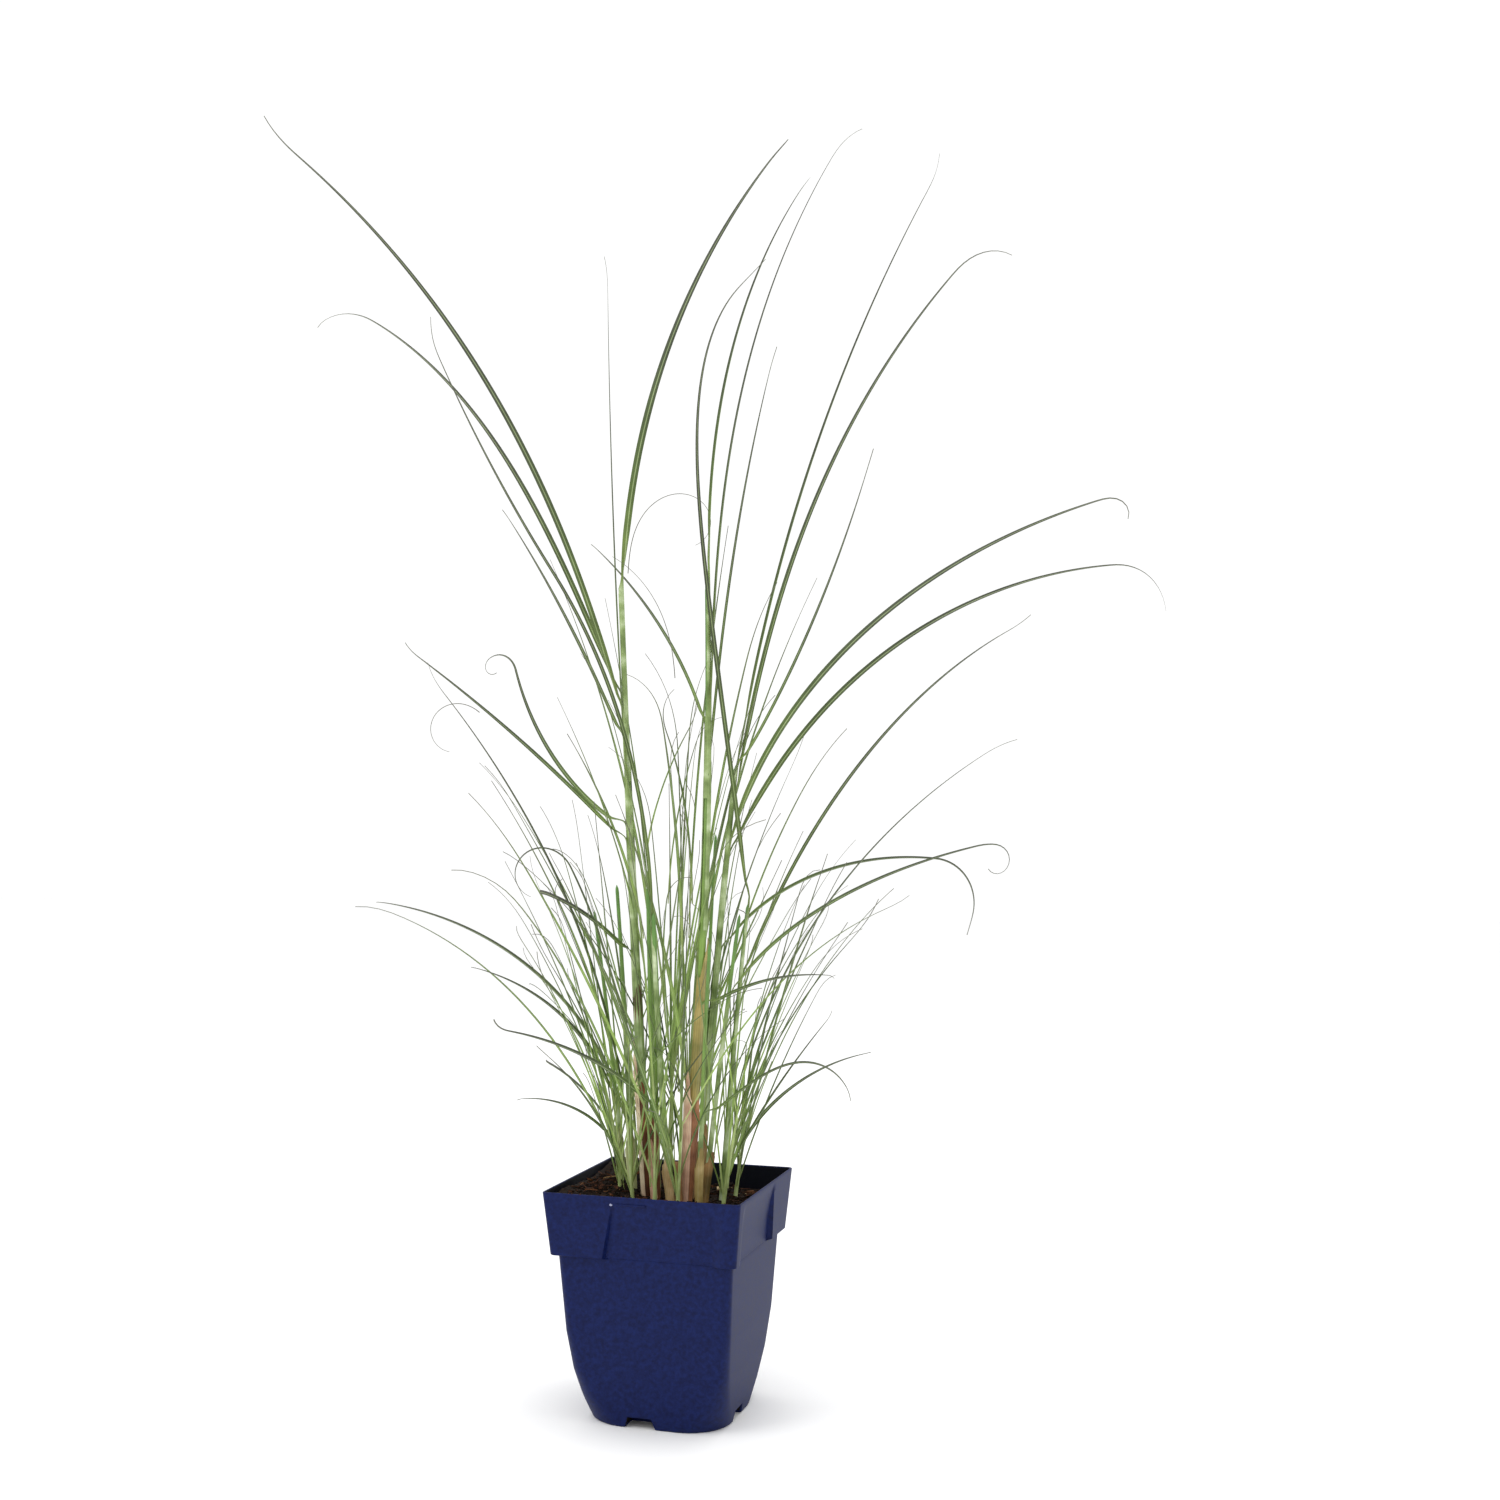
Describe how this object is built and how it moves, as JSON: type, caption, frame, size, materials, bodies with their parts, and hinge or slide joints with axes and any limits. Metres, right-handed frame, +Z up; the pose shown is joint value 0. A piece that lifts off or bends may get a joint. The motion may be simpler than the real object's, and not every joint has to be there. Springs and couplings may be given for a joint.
{
  "type": "potted miscanthus grass clump",
  "caption": "Clump of miscanthus grass with upright culms and arching narrow blades, rooted in potting soil in a square plastic nursery pot.",
  "frame": {"origin": "centre of the pot's underside", "axes": "+Z up, the way the culms grow; +X to the right along the pot's front face; +Y away from the front face"},
  "size_m": [0.5103, 0.3699, 0.7385],
  "materials": {
    "pot_plastic": "moulded, dark navy, slightly grainy",
    "potting_soil": "dark brown peat with bark chips and fibres",
    "culm": "green stem, tan and brown dry sheaths at the base",
    "blade": "satin green blade with lengthwise veins, pale midrib and a dry thread tip",
    "young_blade": "satin fresh green, pale at the base"
  },
  "bodies": {
    "root": {"pot": "pot_plastic", "soil": "potting_soil", "culm_01": "culm", "culm_02": "culm", "culm_03": "culm", "culm_04": "culm", "culm_05": "culm", "culm_06": "culm", "culm_07": "culm", "culm_08": "culm", "culm_09": "culm", "culm_10": "culm", "culm_11": "culm", "culm_12": "culm", "leaf_01": "blade", "leaf_02": "blade", "leaf_03": "blade", "leaf_04": "blade", "leaf_05": "blade", "leaf_06": "blade", "leaf_07": "blade", "leaf_08": "blade", "leaf_09": "blade", "leaf_10": "blade", "leaf_11": "blade", "leaf_12": "blade", "leaf_13": "blade", "leaf_14": "blade", "leaf_15": "blade", "leaf_16": "blade", "leaf_17": "blade", "leaf_18": "blade", "leaf_19": "blade", "leaf_20": "blade", "leaf_21": "blade", "leaf_22": "blade", "leaf_23": "blade", "leaf_24": "blade", "leaf_25": "blade", "leaf_26": "blade", "leaf_27": "blade", "leaf_28": "blade", "leaf_29": "blade", "leaf_30": "blade", "leaf_31": "blade", "leaf_32": "blade", "leaf_33": "blade", "leaf_34": "blade", "young_shoot_01": "young_blade", "young_shoot_02": "young_blade", "young_shoot_03": "young_blade", "young_shoot_04": "young_blade", "young_shoot_05": "young_blade", "young_shoot_06": "young_blade", "young_shoot_07": "young_blade", "young_shoot_08": "young_blade", "young_shoot_09": "young_blade", "young_shoot_10": "young_blade", "young_shoot_11": "young_blade", "young_shoot_12": "young_blade"}
  },
  "joints": []
}
